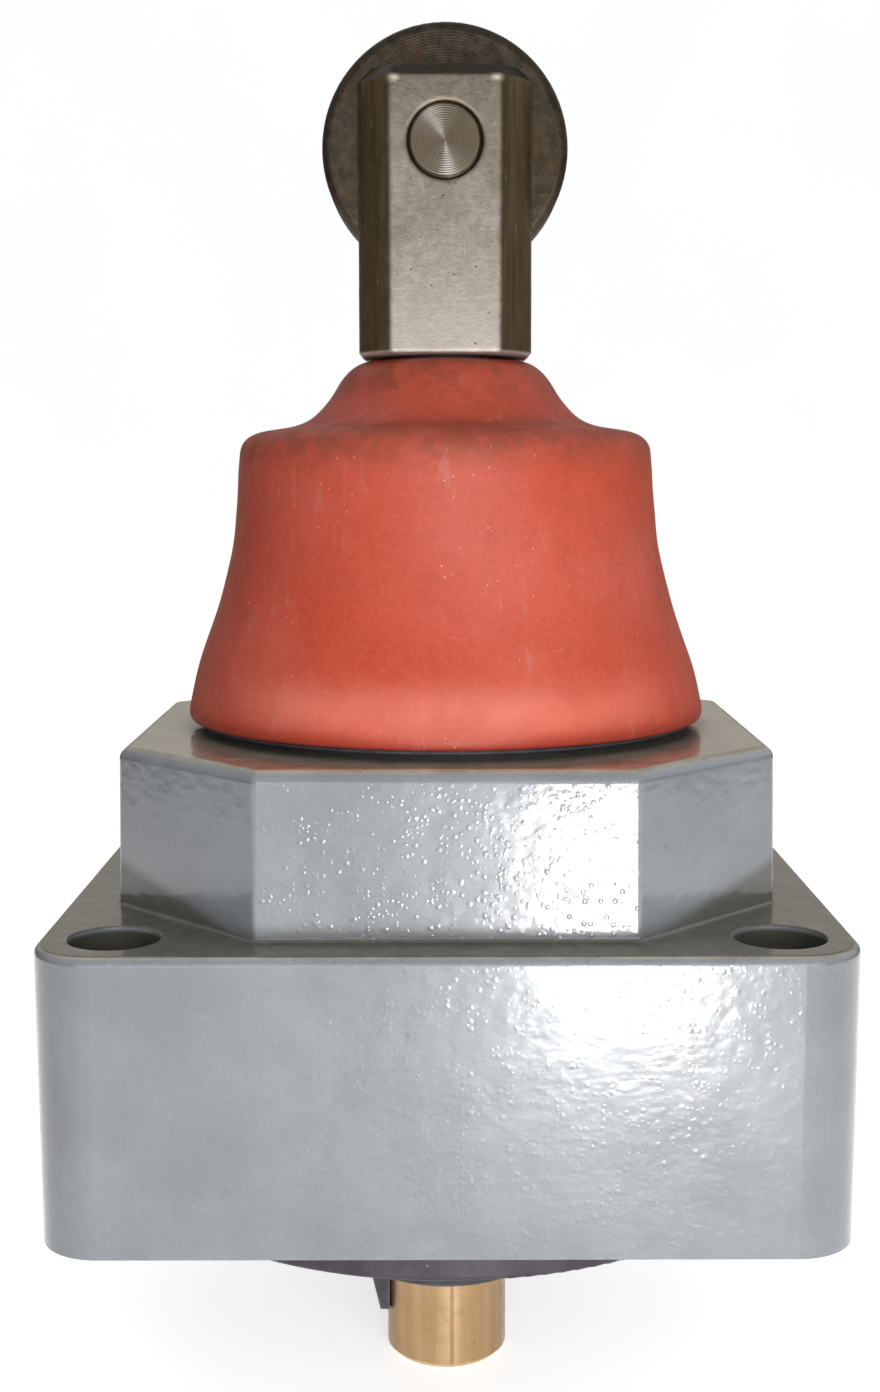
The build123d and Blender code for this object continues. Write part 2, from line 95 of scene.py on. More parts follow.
class Look:
    """One procedural material.

    Its place is in millimetres, in the part's own frame. A piece that changes length keeps its place at rest
    in an attribute, so that its marks stay on it.
    """

    def __init__(self, name, rest_attribute=None):
        self.material = bpy.data.materials.new(name)
        self.material.use_nodes = True
        self.tree = self.material.node_tree
        self.shader = self.tree.nodes["Principled BSDF"]
        coordinates = self.add("ShaderNodeTexCoord")
        place = coordinates.outputs["Object"]
        self.normal = coordinates.outputs["Normal"]
        if rest_attribute:
            stored = self.add("ShaderNodeAttribute")
            stored.attribute_name = rest_attribute
            place = stored.outputs["Vector"]
        scale = self.add("ShaderNodeVectorMath", operation="SCALE")
        self.tree.links.new(place, scale.inputs[0])
        scale.inputs["Scale"].default_value = 1 / MM
        self.place = scale.outputs[0]
        split = self.add("ShaderNodeSeparateXYZ")
        self.tree.links.new(self.place, split.inputs[0])
        self.x, self.y, self.z = split.outputs
        facing = self.add("ShaderNodeSeparateXYZ")
        self.tree.links.new(self.normal, facing.inputs[0])
        self.front = self.math("MULTIPLY", facing.outputs[1], -1.0)
        self.up = facing.outputs[2]
        self.sideways = self.math("ABSOLUTE", facing.outputs[0])

    def add(self, kind, **settings):
        node = self.tree.nodes.new(kind)
        for key, value in settings.items():
            setattr(node, key, value)
        return node

    def plug(self, value, socket):
        """Links an output to a socket, or sets the socket where the value is a number or a colour."""
        if isinstance(value, bpy.types.NodeSocket):
            self.tree.links.new(value, socket)
        elif isinstance(value, (tuple, list)) or not hasattr(socket.default_value, "__len__"):
            socket.default_value = value
        else:
            socket.default_value = (value,) * len(socket.default_value)

    def set(self, **values):
        """Sets or links the shader's sockets: base_color becomes Base Color, and so on."""
        names = {socket.name.lower().replace(" ", "_"): socket for socket in self.shader.inputs}
        for key, value in values.items():
            self.plug(value, names[key])

    def math(self, operation, first, second=0.0, clamp=False):
        """One step of arithmetic on outputs or numbers."""
        node = self.add("ShaderNodeMath", operation=operation, use_clamp=clamp)
        self.plug(first, node.inputs[0])
        self.plug(second, node.inputs[1])
        return node.outputs[0]

    def stretched(self, factors):
        """The place, multiplied by a factor on each axis."""
        node = self.add("ShaderNodeVectorMath", operation="MULTIPLY")
        self.tree.links.new(self.place, node.inputs[0])
        node.inputs[1].default_value = factors
        return node.outputs[0]

    def noise(self, scale, detail=3.0, roughness=0.5, distortion=0.0, stretch=None):
        """Fractal noise: scale in features per millimetre, stretch as a factor on each axis."""
        node = self.add("ShaderNodeTexNoise")
        self.plug(self.stretched(stretch) if stretch else self.place, node.inputs["Vector"])
        node.inputs["Scale"].default_value = scale
        node.inputs["Detail"].default_value = detail
        node.inputs["Roughness"].default_value = roughness
        node.inputs["Distortion"].default_value = distortion
        return node.outputs["Fac"]

    def cells(self, scale):
        """Distance to the nearest of scattered points, and a random number for each point."""
        node = self.add("ShaderNodeTexVoronoi")
        self.plug(self.place, node.inputs["Vector"])
        node.inputs["Scale"].default_value = scale
        split = self.add("ShaderNodeSeparateColor")
        self.plug(node.outputs["Color"], split.inputs[0])
        return node.outputs["Distance"], split.outputs[0]

    def band(self, value, low, high, start=0.0, end=1.0):
        """Goes smoothly from start, at low, to end, at high."""
        node = self.add("ShaderNodeMapRange", interpolation_type="SMOOTHSTEP")
        self.plug(value, node.inputs["Value"])
        node.inputs["From Min"].default_value = low
        node.inputs["From Max"].default_value = high
        node.inputs["To Min"].default_value = start
        node.inputs["To Max"].default_value = end
        return node.outputs["Result"]

    def hump(self, value, centre, half_width):
        """1 at centre and 0 further off than half_width."""
        distance = self.math("ABSOLUTE", self.math("SUBTRACT", value, centre))
        return self.band(distance, 0.0, half_width, 1.0, 0.0)

    def times(self, *factors):
        total = factors[0]
        for factor in factors[1:]:
            total = self.math("MULTIPLY", total, factor)
        return total

    def plus(self, *terms):
        total = terms[0]
        for term in terms[1:]:
            total = self.math("ADD", total, term)
        return total

    def mix(self, share, first, second):
        """The first colour, with the given share of the second. The colour sockets go by number."""
        node = self.add("ShaderNodeMix", data_type="RGBA")
        self.plug(share, node.inputs["Factor"])
        self.plug(first, node.inputs[6])
        self.plug(second, node.inputs[7])
        return node.outputs[2]

    def specks(self, scale, size, share):
        """A mask of small dots: one in about each cell, in the given share of the cells."""
        distance, random = self.cells(scale)
        chosen = self.band(random, 1 - share, 1 - share + 0.02)
        return self.times(self.band(distance, size * 0.5, size, 1.0, 0.0), chosen)

    def crevices(self, reach):
        """1 in inside corners, 0 in the open."""
        node = self.add("ShaderNodeAmbientOcclusion", samples=8, only_local=False)
        node.inputs["Distance"].default_value = reach * MM
        return self.band(node.outputs["AO"], 0.35, 0.95, 1.0, 0.0)

    def edges(self, radius):
        """1 on outside edges sharper than the radius, 0 on flat surfaces."""
        bevel = self.add("ShaderNodeBevel", samples=6)
        bevel.inputs["Radius"].default_value = radius * MM
        geometry = self.add("ShaderNodeNewGeometry")
        dot = self.add("ShaderNodeVectorMath", operation="DOT_PRODUCT")
        self.plug(bevel.outputs[0], dot.inputs[0])
        self.plug(geometry.outputs["Normal"], dot.inputs[1])
        return self.band(dot.outputs["Value"], 0.84, 0.995, 1.0, 0.0)

    def domes(self, scale, radius):
        """Smooth round bumps, one about each cell, from 1 on top to 0 at the radius."""
        distance, random = self.cells(scale)
        inside = self.math("SUBTRACT", 1.0, self.math("DIVIDE", distance, radius), clamp=True)
        return self.times(inside, self.math("SUBTRACT", 2.0, inside), self.band(random, 0.3, 0.9))

    def round_distance(self, across, up, centre_up=0.0):
        """Distance from an axis, from the two coordinates across it."""
        up = self.math("SUBTRACT", up, centre_up)
        return self.math("SQRT", self.plus(self.times(across, across), self.times(up, up)))

    def soft_edges(self, radius):
        """A normal that turns smoothly round outside edges."""
        node = self.add("ShaderNodeBevel", samples=6)
        node.inputs["Radius"].default_value = radius * MM
        return node.outputs[0]

    def bump(self, *layers, normal=None):
        """Adds bump layers, each (height, strength, distance in millimetres), to a normal."""
        for height, strength, distance in layers:
            node = self.add("ShaderNodeBump")
            self.plug(height, node.inputs["Height"])
            node.inputs["Strength"].default_value = strength
            node.inputs["Distance"].default_value = distance * MM
            if normal:
                self.plug(normal, node.inputs["Normal"])
            normal = node.outputs[0]
        self.plug(normal, self.shader.inputs["Normal"])
        self.plug(normal, self.shader.inputs["Coat Normal"])


# ---------------------------------------------------------------- materials

def grey_paint():
    """Glossy grey enamel: faint orange peel, scattered nibs, dust and a painted reflection on its upward
    faces, painted shade in corners, at the boss's foot and in the fixing bores, and worn edges that also
    carry a painted highlight.
    """
    look = Look("grey_paint")
    broad = look.noise(0.14, 3, 0.6)
    fine = look.noise(1.8, 2, 0.5)
    enamel = look.mix(look.band(broad, 0.3, 0.7), srgb(116, 120, 124), srgb(129, 134, 139))
    enamel = look.mix(look.band(fine, 0.4, 0.75, 0.0, 0.12), enamel, srgb(108, 112, 115))
    runs = look.noise(0.5, 2, 0.5, 0.3, stretch=(1, 1, 0.35))
    enamel = look.mix(look.band(runs, 0.4, 0.8, 0.0, 0.25), enamel, srgb(136, 141, 147))
    # Upward faces: dust, and a painted reflection of the pale room above that lightens them.
    up = look.band(look.up, 0.6, 0.95)
    grime = look.mix(look.band(look.noise(0.5, 5, 0.65), 0.3, 0.7), srgb(172, 166, 143), srgb(142, 136, 113))
    enamel = look.mix(look.times(up, 0.85), enamel, grime)
    side = look.band(look.front, 0.75, 0.95, 1.0, 0.25)
    # Painted shade in the corners and a painted dark reflection at the boss's foot: it climbs further up
    # towards the back.
    behind = look.math("MINIMUM", look.times(look.plus(look.y, BOSS_FRONT), 0.3), 2.4)
    above_foot = look.math("SUBTRACT", look.math("SUBTRACT", look.z, FLANGE_TOP - 0.05), behind)
    foot = look.times(
        look.band(above_foot, -0.4, 0.5, 1.0, 0.0),
        look.band(look.z, FLANGE_TOP - 0.15, FLANGE_TOP - 0.05),
        side,
    )
    # A painted dark line along the root of the boss.
    root = look.times(
        look.band(look.z, FLANGE_TOP - 0.05, FLANGE_TOP - 0.02),
        look.band(look.z, FLANGE_TOP + 0.13, FLANGE_TOP + 0.27, 1.0, 0.0),
    )
    corner = look.math("MAXIMUM", look.math("MAXIMUM", look.crevices(1.8), foot), root)
    corner = look.times(corner, look.band(look.noise(1.1, 2, 0.5), 0.2, 0.55, 0.8, 1.0))
    # Painted shade: the corners, the boss's foot and its root are darkened to olive.
    enamel = look.mix(look.times(corner, 0.8), enamel, srgb(62, 59, 46))
    # Painted shade inside the fixing bores, which darkens them.
    across = look.math("SUBTRACT", look.math("ABSOLUTE", look.x), FIXING_OFFSET)
    along = look.math("SUBTRACT", look.math("ABSOLUTE", look.y), FIXING_OFFSET)
    bore = look.times(
        look.band(look.round_distance(across, along), FIXING_RADIUS + 0.02, FIXING_RADIUS + 0.06, 1.0, 0.0),
        look.band(look.z, FLANGE_TOP - 0.35, FLANGE_TOP - 0.1, 1.0, 0.0),
    )
    enamel = look.mix(look.times(bore, 0.92), enamel, srgb(58, 56, 44))
    # Paint rubbed off along the edges, with a painted highlight along them too.
    chips_and_edge_highlight = look.times(look.edges(0.4), look.band(look.noise(0.9, 5, 0.7), 0.5, 0.66))
    enamel = look.mix(look.times(chips_and_edge_highlight, 0.35), enamel, srgb(178, 182, 182))
    dirt = look.specks(0.55, 0.07, 0.35)
    enamel = look.mix(look.times(dirt, 0.7), enamel, srgb(88, 70, 60))
    top_dirt = look.times(look.specks(1.5, 0.13, 0.45), up, look.band(look.noise(0.25, 3), 0.45, 0.6))
    enamel = look.mix(look.times(top_dirt, 0.8), enamel, srgb(52, 48, 38))
    # Nibs lie in patches, on the faces square to the axes, and stand out more on the boss.
    patches = look.band(look.noise(0.25, 4, 0.65, 0.4), 0.4, 0.56)
    square_on = look.math("MAXIMUM", look.sideways, look.math("ABSOLUTE", look.front))
    coarser_above = look.times(
        look.band(look.z, FLANGE_TOP - 0.45, FLANGE_TOP + 0.35, 0.4, 1.0),
        look.band(square_on, 0.8, 0.95),
    )
    nibs = look.times(look.domes(2.7, 0.42), patches, coarser_above)
    fine_patches = look.band(look.noise(0.6, 3, 0.6), 0.42, 0.58)
    fine_nibs = look.times(look.domes(4.2, 0.42), fine_patches, coarser_above)
    roughness = look.plus(
        look.band(look.noise(0.35, 4, 0.6), 0.3, 0.7, 0.23, 0.31),
        look.times(corner, 0.2),
        look.times(bore, 0.3),
        look.times(dirt, 0.2),
    )
    look.set(
        base_color=enamel, roughness=roughness, ior=1.5,
        coat_weight=look.band(up, 0.0, 1.0, 1.0, 0.85), coat_roughness=0.13, coat_ior=1.5,
    )
    look.bump(
        (look.noise(0.3, 2, 0.5), 0.35, 0.13),
        (look.noise(1.3, 1, 0.5, stretch=(1, 1, 1.5)), 0.5, 0.026),
        (nibs, 0.7, 0.024),
        (fine_nibs, 0.7, 0.016),
    )
    return look.material


def red_silicone():
    """Satin red silicone rubber, browned at the shoulder and neck, scuffed and dusty; with a painted sheen
    across the front of its foot, and painted shade at the top lip, in a band above the foot and along the
    bottom edge.
    """
    look = Look("red_silicone", "rest_place")
    radius = look.round_distance(look.x, look.y)
    cloud = look.noise(0.10, 4, 0.55, 0.3)
    rubber = look.mix(look.band(cloud, 0.3, 0.7), srgb(182, 66, 42), srgb(190, 80, 60))
    mottle = look.noise(1.1, 6, 0.7)
    rubber = look.mix(look.band(mottle, 0.42, 0.75, 0.0, 0.4), rubber, srgb(160, 62, 42))
    grain = look.noise(3.6, 3, 0.6)
    rubber = look.mix(look.band(grain, 0.35, 0.7, 0.0, 0.3), rubber, srgb(206, 96, 72))
    blush = look.band(look.noise(0.2, 2, 0.5), 0.4, 0.8)
    rubber = look.mix(look.times(blush, 0.35), rubber, srgb(206, 100, 82))
    grime = look.band(look.noise(0.6, 6, 0.7, 0.4), 0.36, 0.66)
    shoulder = look.hump(look.z, BOOT_SHOULDER, 2.2)
    browned = look.times(shoulder, look.band(grime, 0.0, 1.0, 0.4, 1.0), 0.75)
    rubber = look.mix(browned, rubber, srgb(124, 64, 44))
    crease = look.times(
        look.hump(look.z, BOOT_CREASE, 1.1),
        look.band(radius, 6.6, 7.9),
        look.band(radius, 8.6, 10.4, 1.0, 0.0),
    )
    rubber = look.mix(look.times(crease, look.band(grime, 0.0, 1.0, 0.0, 0.3)), rubber, srgb(140, 60, 36))
    neck = look.band(look.z, BOOT_CREASE - 0.1, BOOT_CREASE + 2.3)
    rubber = look.mix(look.times(neck, look.band(grime, 0.0, 1.0, 0.45, 1.0), 0.8), rubber, srgb(120, 56, 36))
    # Painted shade at the top lip, under the fork.
    lip_shade = look.band(look.z, BOOT_TOP - 0.55, BOOT_TOP - 0.05)
    rubber = look.mix(look.times(lip_shade, 0.5), rubber, srgb(112, 44, 30))
    # Painted shade in a band above the foot, broken up by noise.
    hem = look.times(look.hump(look.z, BOOT_HEM, 1.0), look.band(look.noise(0.22, 3, 0.6), 0.35, 0.6))
    rubber = look.mix(look.times(hem, 0.3), rubber, srgb(160, 60, 42))
    # A painted sheen across the front of the foot.
    foot = look.times(look.hump(look.z, BOOT_HEM - 0.8, 2.0), look.band(look.front, 0.5, 0.95, 0.25, 1.0))
    foot_sheen = look.times(foot, look.band(look.noise(0.3, 3, 0.5), 0.2, 0.6, 0.5, 1.0), 0.55)
    rubber = look.mix(foot_sheen, rubber, srgb(226, 128, 108))
    # A painted shadow along the bottom edge, under the rim.
    bottom_shadow = look.band(look.z, BOOT_HEM - 2.4, BOOT_HEM - 1.7, 1.0, 0.0)
    rubber = look.mix(look.times(bottom_shadow, 0.6), rubber, srgb(158, 54, 38))
    scuff = look.times(
        look.band(look.noise(0.9, 5, 0.7, 0.2, stretch=(1.6, 1.6, 0.35)), 0.55, 0.68),
        look.band(look.noise(0.2, 3), 0.46, 0.58),
    )
    rubber = look.mix(look.times(scuff, 0.35), rubber, srgb(186, 126, 118))
    dust = look.specks(0.9, 0.06, 0.5)
    fine_dust = look.times(look.specks(2.2, 0.12, 0.5), look.band(look.noise(0.2, 3, 0.5), 0.38, 0.58))
    rubber = look.mix(look.times(dust, 0.7), rubber, srgb(232, 200, 176))
    rubber = look.mix(look.times(fine_dust, 0.7), rubber, srgb(226, 172, 148))
    roughness = look.plus(
        look.band(look.noise(0.8, 5, 0.6), 0.3, 0.7, 0.42, 0.54),
        look.times(shoulder, 0.08),
        look.times(dust, 0.3),
    )
    look.set(
        base_color=rubber, roughness=roughness, ior=1.42,
        subsurface_weight=0.06, subsurface_radius=(0.001, 0.0004, 0.0003), subsurface_scale=0.6,
    )
    look.bump(
        (look.noise(0.16, 3, 0.5), 0.6, 0.2),
        (look.noise(3.2, 5, 0.65), 0.35, 0.03),
        (dust, 0.6, 0.04),
    )
    return look.material


def worn_steel():
    """Turned bar with milled flats: bright worn flats, a dark oxide skin on the round, brown stains, with a
    painted highlight along the bottom edge, and a painted dark band and painted glints at the top.
    """
    look = Look("worn_steel")
    stain = look.noise(0.35, 6, 0.65, 0.5)
    grain = look.noise(2.2, 6, 0.7)
    streak = look.noise(1.6, 3, 0.5, stretch=(1.8, 1.8, 0.12))
    flat_y = look.band(look.math("ABSOLUTE", look.y), FORK_HALF_DEPTH - 0.15, FORK_HALF_DEPTH - 0.01)
    flat_x = look.band(look.math("ABSOLUTE", look.x), FORK_HALF_WIDTH - 0.12, FORK_HALF_WIDTH - 0.01)
    milled = look.math("MAXIMUM", flat_y, look.times(flat_x, 0.6))
    body = look.times(
        look.band(look.z, FORK_BOTTOM + 0.1, FORK_BOTTOM + 0.3),
        look.band(look.z, FORK_TOP - 0.8, FORK_TOP - 0.6, 1.0, 0.0),
    )
    bright = look.mix(look.band(grain, 0.3, 0.7), srgb(140, 130, 119), srgb(168, 158, 147))
    bright = look.mix(look.band(stain, 0.4, 0.7, 0.0, 0.5), bright, srgb(118, 106, 91))
    lower = look.band(look.z, FORK_BOTTOM + 0.2, FORK_MIDDLE, 1.0, 0.0)
    bright = look.mix(look.times(lower, 0.5), bright, srgb(188, 181, 172))
    upper = look.band(look.z, FORK_MIDDLE + 3.0, FORK_TOP - 0.8)
    bright = look.mix(look.times(upper, 0.4), bright, srgb(104, 92, 76))
    skin = look.mix(look.band(streak, 0.3, 0.7), srgb(90, 75, 52), srgb(112, 95, 69))
    skin = look.mix(look.band(stain, 0.45, 0.7, 0.0, 0.5), skin, srgb(92, 72, 46))
    # Painted light at the bar's ends: a bright line along the bottom edge and a dark band at the top.
    rim = look.mix(look.band(look.z, FORK_MIDDLE, FORK_MIDDLE + 0.1), srgb(208, 202, 194), srgb(70, 60, 46))
    metal = look.mix(milled, skin, bright)
    head = look.band(look.z, FORK_BOTTOM - 0.1, FORK_BOTTOM)
    metal = look.mix(look.times(head, look.math("SUBTRACT", 1.0, body), 0.75), metal, rim)
    rub = look.times(look.edges(0.3), look.band(look.noise(1.1, 4, 0.6), 0.3, 0.6, 0.3, 1.0))
    metal = look.mix(look.times(rub, 0.55), metal, srgb(176, 164, 140))
    # Painted shade on the top chamfer.
    crest_shade = look.band(look.z, FORK_TOP - 0.78, FORK_TOP - 0.6)
    metal = look.mix(look.times(crest_shade, 0.7), metal, srgb(46, 38, 28))
    # Painted glints at the flat's top corners.
    half_across = look.math("ABSOLUTE", look.x)
    painted_glint = look.times(look.hump(half_across, 2.75, 0.5), look.hump(look.z, FORK_TOP - 0.85, 0.3))
    metal = look.mix(look.times(painted_glint, 0.8), metal, srgb(240, 230, 204))
    pits = look.specks(1.7, 0.13, 0.35)
    metal = look.mix(look.times(pits, 0.4), metal, srgb(78, 66, 52))
    scratches = look.band(look.noise(2.4, 4, 0.7, 0.2, stretch=(1.6, 1.6, 0.25)), 0.62, 0.72)
    metal = look.mix(look.times(scratches, 0.3), metal, srgb(196, 188, 176))
    roughness = look.plus(
        look.band(grain, 0.25, 0.75, 0.34, 0.5),
        look.times(look.math("SUBTRACT", 1.0, milled), 0.06),
        look.times(pits, 0.2),
    )
    look.set(base_color=metal, metallic=0.88, roughness=roughness, anisotropic=0.25)
    look.bump(
        (look.noise(3.0, 4, 0.6, stretch=(1, 1, 1.8)), 0.4, 0.03),
        (grain, 0.35, 0.04),
        (scratches, 0.3, -0.02),
        (pits, 0.6, -0.04),
        normal=look.soft_edges(0.3),
    )
    return look.material


def roller_steel():
    """Hardened roller: fine turning rings on its faces, a rolled dark rim, rust-brown staining."""
    look = Look("roller_steel")
    radius = look.round_distance(look.x, look.z, ROLLER_CENTRE)
    rings = look.math("SINE", look.plus(look.times(radius, 42.0), look.times(look.noise(1.0, 3), 3.0)))
    stain = look.noise(0.45, 6, 0.68, 0.6)
    metal = look.mix(look.band(look.noise(1.8, 5, 0.65), 0.3, 0.7), srgb(58, 51, 41), srgb(82, 73, 61))
    higher = look.band(look.z, ROLLER_CENTRE - 2.74, ROLLER_CENTRE + 3.26, 0.4, 1.0)
    rust = look.times(look.band(stain, 0.48, 0.72), higher)
    metal = look.mix(look.times(rust, 0.6), metal, srgb(96, 66, 40))
    tread = look.band(radius, ROLLER_RADIUS - 0.42, ROLLER_RADIUS - 0.07)
    metal = look.mix(look.times(tread, 0.5), metal, srgb(66, 58, 50))
    pits = look.specks(1.9, 0.16, 0.3)
    metal = look.mix(look.times(pits, 0.55), metal, srgb(52, 44, 36))
    roughness = look.band(look.noise(1.2, 5, 0.6), 0.3, 0.7, 0.34, 0.5)
    look.set(base_color=metal, metallic=0.85, roughness=roughness)
    on_face = look.band(radius, ROLLER_RADIUS - 0.57, ROLLER_RADIUS - 0.37, 1.0, 0.0)
    look.bump(
        (look.times(rings, on_face), 0.25, 0.012),
        (look.noise(2.6, 5, 0.6), 0.35, 0.03),
        (pits, 0.5, -0.05),
    )
    return look.material


def turned_pin():
    """Ground axle with a faced end: concentric tool marks, and a painted bow tie of light such as those marks
    give.
    """
    look = Look("turned_pin")
    radius = look.round_distance(look.x, look.z, ROLLER_CENTRE)
    rings = look.math("SINE", look.times(radius, 52.0))
    angle = look.math("ARCTAN2", look.math("SUBTRACT", look.z, ROLLER_CENTRE), look.x)
    # A painted highlight: the bow tie of light on the faced end.
    painted_bow_tie = look.plus(
        look.times(look.hump(angle, 2.03, 0.5), 0.7),
        look.times(look.hump(angle, -1.45, 0.42), 0.75),
        look.times(look.hump(angle, 1.9, 1.3), 0.3),
        look.times(look.hump(angle, -1.45, 1.2), 0.3),
    )
    metal = look.mix(look.noise(1.5, 5, 0.6), srgb(92, 80, 64), srgb(112, 101, 86))
    painted_bow_tie = look.times(painted_bow_tie, look.band(radius, 0.0, 0.5, 0.6, 1.0), 0.8)
    metal = look.mix(painted_bow_tie, metal, srgb(206, 198, 188))
    stain = look.band(look.noise(0.8, 5, 0.65, 0.4), 0.5, 0.72)
    metal = look.mix(look.times(stain, 0.4), metal, srgb(112, 98, 80))
    # Painted shade in the gap round the pin's end.
    gap_shade = look.band(radius, PIN_RADIUS - 0.14, PIN_RADIUS)
    metal = look.mix(look.times(gap_shade, 0.75), metal, srgb(62, 54, 44))
    tangent = look.add("ShaderNodeTangent", direction_type="RADIAL", axis="Y")
    look.set(
        base_color=metal, metallic=1.0, anisotropic=0.85, anisotropic_rotation=0.0,
        roughness=look.band(look.noise(2.0, 4), 0.3, 0.7, 0.26, 0.36), tangent=tangent.outputs[0],
    )
    look.bump((rings, 0.3, 0.012), (look.noise(2.5, 5, 0.6), 0.2, 0.02))
    return look.material


def brass():
    """Drawn brass with faint turning lines, tarnish and small dark marks, with a painted reflection down the
    front and painted shade on its sides.
    """
    look = Look("brass")
    streak = look.noise(1.0, 3, 0.5, stretch=(2.0, 2.0, 0.1))
    lines = look.noise(1.0, 4, 0.6, stretch=(0.25, 0.25, 7.0))
    metal = look.mix(look.band(streak, 0.3, 0.7), srgb(182, 148, 106), srgb(194, 162, 122))
    tarnish = look.band(look.noise(0.4, 6, 0.65, 0.5), 0.48, 0.72)
    metal = look.mix(look.times(tarnish, 0.3), metal, srgb(146, 114, 78))
    # A painted reflection down the front: one dark line, with a lighter stripe to each side.
    line_across = 0.3
    dark_reflection = look.times(look.hump(look.x, line_across, 0.2), look.band(look.front, 0.5, 0.9))
    pale_reflection = look.times(look.hump(look.x, line_across, 0.8), look.band(look.front, 0.5, 0.9))
    metal = look.mix(look.times(pale_reflection, 0.45), metal, srgb(220, 192, 156))
    metal = look.mix(look.times(dark_reflection, 0.6), metal, srgb(120, 92, 60))
    # Painted shade on the sides, away from the front.
    flank_shade = look.band(look.sideways, 0.6, 0.97)
    metal = look.mix(look.times(flank_shade, 0.5), metal, srgb(126, 102, 78))
    marks = look.specks(1.2, 0.1, 0.3)
    metal = look.mix(look.times(marks, 0.65), metal, srgb(84, 58, 34))
    roughness = look.band(look.noise(1.4, 5, 0.6), 0.3, 0.7, 0.24, 0.4)
    look.set(base_color=metal, metallic=1.0, roughness=roughness)
    look.bump((lines, 0.35, 0.02), (streak, 0.2, 0.02), (marks, 0.4, -0.03))
    return look.material


def plain_metal(name, dark, light):
    """A small metal part: two tones, a stain, rubbed edges, fine grain."""
    look = Look(name)
    metal = look.mix(look.band(look.noise(1.2, 5, 0.6), 0.3, 0.7), srgb(*dark), srgb(*light))
    stain = look.band(look.noise(0.5, 5, 0.65, 0.4), 0.52, 0.74)
    metal = look.mix(look.times(stain, 0.45), metal, srgb(*(value * 0.55 for value in dark)))
    rub = look.edges(0.2)
    metal = look.mix(look.times(rub, 0.35), metal, srgb(*(min(255, value * 1.25) for value in light)))
    roughness = look.band(look.noise(2.0, 4), 0.3, 0.7, 0.28, 0.45)
    look.set(base_color=metal, metallic=0.9, roughness=roughness)
    look.bump((look.noise(2.8, 5, 0.6), 0.3, 0.025))
    return look.material


def dark_moulding(name, dark, light, roughness):
    """Moulded black plastic or rubber: faint mottle, dust specks, rubbed edges."""
    look = Look(name)
    body = look.mix(look.band(look.noise(0.6, 5, 0.65), 0.3, 0.7), srgb(*dark), srgb(*light))
    rub = look.times(look.edges(0.35), look.band(look.noise(0.9, 4), 0.3, 0.6, 0.3, 1.0))
    body = look.mix(look.times(rub, 0.4), body, srgb(*(value * 1.9 for value in light)))
    dust = look.specks(1.1, 0.09, 0.25)
    body = look.mix(look.times(dust, 0.6), body, srgb(150, 145, 140))
    uneven = look.band(look.noise(1.5, 5), 0.3, 0.7, roughness - 0.07, roughness + 0.07)
    look.set(base_color=body, roughness=look.plus(uneven, look.times(dust, 0.2)), ior=1.48)
    look.bump((look.noise(3.2, 4, 0.6), 0.4, 0.03), (look.noise(0.5, 3), 0.3, 0.1))
    return look.material


def pale_floor():
    """Plain matt card, with the faintest mottle."""
    look = Look("pale_floor")
    card = look.mix(look.noise(0.05, 3, 0.5), (0.86, 0.86, 0.86, 1), (0.9, 0.9, 0.9, 1))
    look.set(base_color=card, roughness=0.7, emission_color=(1, 1, 1, 1), emission_strength=0.6)
    return look.material


def pale_backdrop():
    """The far part of the same card, evenly lit."""
    look = Look("pale_backdrop")
    tone = look.mix(look.noise(0.02, 2, 0.5), (0.98, 0.98, 0.98, 1), (1, 1, 1, 1))
    look.set(base_color=(0, 0, 0, 1), roughness=1.0, emission_color=tone, emission_strength=1.0)
    return look.material


looks = {
    "grey_paint": grey_paint(),
    "red_silicone": red_silicone(),
    "worn_steel": worn_steel(),
    "roller_steel": roller_steel(),
    "turned_pin": turned_pin(),
    "brass": brass(),
    "bronze": plain_metal("bronze", (150, 104, 62), (184, 136, 88)),
    "zinc_steel": plain_metal("zinc_steel", (150, 150, 146), (190, 190, 184)),
    "spring_steel": plain_metal("spring_steel", (104, 102, 100), (150, 148, 144)),
    "black_plastic": dark_moulding("black_plastic", (46, 41, 48), (68, 62, 70), 0.45),
    "black_rubber": dark_moulding("black_rubber", (24, 24, 24), (38, 37, 36), 0.6),
}
finishes = {
    "housing": "grey_paint",
    "plunger": "worn_steel",
    "roller": "roller_steel",
    "roller_pin": "turned_pin",
    "thrust_washers": "zinc_steel",
    "roller_bush": "bronze",
    "guide_bush": "bronze",
    "pusher": "brass",
    "bottom_cover": "black_plastic",
    "cover_screws": "zinc_steel",
    "retainer_screws": "zinc_steel",
    "boot_retainer": "black_plastic",
    "stem_wiper": "black_rubber",
    "seat_gasket": "black_rubber",
    # The seat gasket's black edge under the boot's rim also stands in for the shade in that gap.
    "cover_gasket": "black_rubber",
    "pusher_seal": "black_rubber",
    "guide_pin": "spring_steel",
    "stop_washer": "spring_steel",
    "spring_seat": "spring_steel",
    "spring_carrier": "zinc_steel",
    "carrier_pin": "spring_steel",
}
for node_name, look_name in finishes.items():
    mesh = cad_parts[node_name].data
    mesh.materials.clear()
    mesh.materials.append(looks[look_name])


# ---------------------------------------------------------------- meshes

